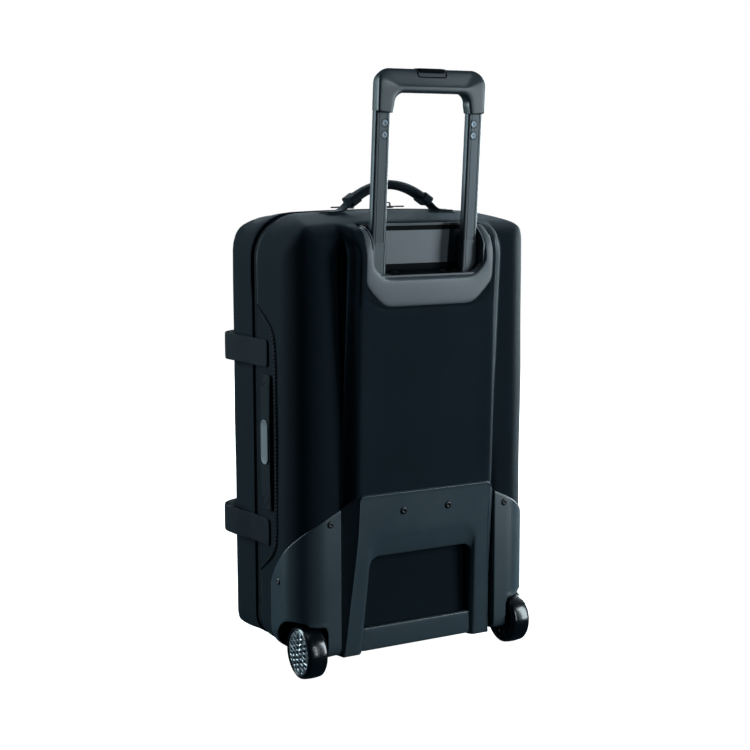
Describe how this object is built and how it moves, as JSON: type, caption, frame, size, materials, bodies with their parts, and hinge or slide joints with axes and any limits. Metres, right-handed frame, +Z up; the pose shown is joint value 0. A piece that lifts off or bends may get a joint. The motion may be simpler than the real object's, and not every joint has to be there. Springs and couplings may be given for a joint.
{
  "type": "rolling travel case",
  "caption": "Upright soft-sided two-wheeled case with a clamshell lid, telescoping handle, moulded kick plate, closure straps and a laptop sleeve.",
  "frame": {"origin": "on the floor, under the centre of the bounding box at rest", "axes": "+Z up; the lid faces -Y; the handle, kick plate and wheels are on the +Y side; +X is the side with the closure ends, the low side handle and the zip run"},
  "size_m": [0.396, 0.271, 0.8228],
  "materials": {
    "body_fabric": "woven nylon, matt",
    "webbing": "ribbed webbing, matt",
    "lining": "brushed lining, matt",
    "moulded_plastic": "fine spark-eroded texture",
    "satin_plastic": "satin",
    "grip_plastic": "soft-touch, matt",
    "tube_metal": "grey anodised, satin",
    "steel": "bright",
    "silver_cap": "satin",
    "tyre_black": "smooth, glossy",
    "badge_rubber": "satin grey",
    "zip_tape": "woven tape and coil",
    "dark_metal": "black, satin",
    "dark_plastic": "fine texture"
  },
  "bodies": {
    "case": {"tub_shell": "body_fabric", "back_panel": "body_fabric", "frame_board": "moulded_plastic", "tube_base": "moulded_plastic", "handle_tray": "satin_plastic", "handle_bezel": "satin_plastic", "tray_screws": "dark_metal", "kick_plate": "moulded_plastic", "corner_guard_left": "moulded_plastic", "corner_guard_right": "moulded_plastic", "wheel_bracket_left": "moulded_plastic", "wheel_bracket_right": "moulded_plastic", "plate_rivets": "dark_metal", "guard_rivets": "dark_metal", "outer_tube_left": "tube_metal", "outer_tube_right": "tube_metal", "carry_pad": "webbing", "carry_webbing": "webbing", "carry_anchors": "webbing", "side_gusset": "body_fabric", "side_handle": "webbing", "side_handle_badge": "badge_rubber", "tub_zip": "zip_tape", "zip_sliders": "dark_metal", "hinge_strip_tub": "body_fabric", "packing_straps": "webbing", "packing_buckle": "dark_plastic", "axle_left": "steel", "axle_right": "steel"},
    "wheel_left": {"tyre_left": "tyre_black", "hub_left": "moulded_plastic", "wheel_cap_left": "silver_cap", "bearings_left": "steel"},
    "wheel_right": {"tyre_right": "tyre_black", "hub_right": "moulded_plastic", "wheel_cap_right": "silver_cap", "bearings_right": "steel"},
    "mid_stage": {"mid_tube_left": "tube_metal", "mid_tube_right": "tube_metal"},
    "grip": {"inner_tube_left": "tube_metal", "inner_tube_right": "tube_metal", "slide_plugs": "dark_plastic", "grip_screws": "dark_metal", "grip_back": "grip_plastic", "grip_front": "grip_plastic", "button_spring": "steel"},
    "button": {"release_button": "dark_plastic", "release_bar": "dark_plastic", "push_rods": "steel"},
    "lid": {"lid_shell": "body_fabric", "lid_zip": "zip_tape", "hinge_strip_lid": "body_fabric", "front_pocket": "body_fabric", "closure_strap_high": "webbing", "closure_strap_low": "webbing", "laptop_sleeve": "lining", "foot_left": "moulded_plastic", "foot_right": "moulded_plastic"},
    "pull_left": {"zip_pull_left": "dark_plastic"},
    "pull_right": {"zip_pull_right": "dark_plastic"}
  },
  "joints": [
    {"name": "lid_hinge", "type": "hinge", "parent": "case", "child": "lid", "pos_m": [-0.192, -0.0255, 0.334], "axis": [0, 0, 1], "range_deg": [-150, 0]},
    {"name": "handle_lower_stage", "type": "slide", "parent": "case", "child": "mid_stage", "axis": [0, 0.0732, 0.9973], "range_m": [-0.041, 0.16]},
    {"name": "handle_upper_stage", "type": "slide", "parent": "mid_stage", "child": "grip", "axis": [0, 0.0732, 0.9973], "range_m": [-0.169, 0]},
    {"name": "button_press", "type": "slide", "parent": "grip", "child": "button", "axis": [0, -0.0732, -0.9973], "range_m": [0, 0.005], "stiffness_N_per_m": 1200, "springref_m": -0.003, "deforming": ["button_spring"]},
    {"name": "wheel_left_spin", "type": "hinge", "parent": "case", "child": "wheel_left", "pos_m": [-0.166, 0.0765, 0.037], "axis": [1, 0, 0], "continuous": true},
    {"name": "wheel_right_spin", "type": "hinge", "parent": "case", "child": "wheel_right", "pos_m": [0.166, 0.0765, 0.037], "axis": [1, 0, 0], "continuous": true},
    {"name": "zip_pull_left_flip", "type": "hinge", "parent": "case", "child": "pull_left", "pos_m": [-0.02, -0.0255, 0.6412], "axis": [0, 1, 0], "range_deg": [0, 150]},
    {"name": "zip_pull_right_flip", "type": "hinge", "parent": "case", "child": "pull_right", "pos_m": [0.044, -0.0255, 0.6412], "axis": [0, -1, 0], "range_deg": [0, 150]}
  ]
}
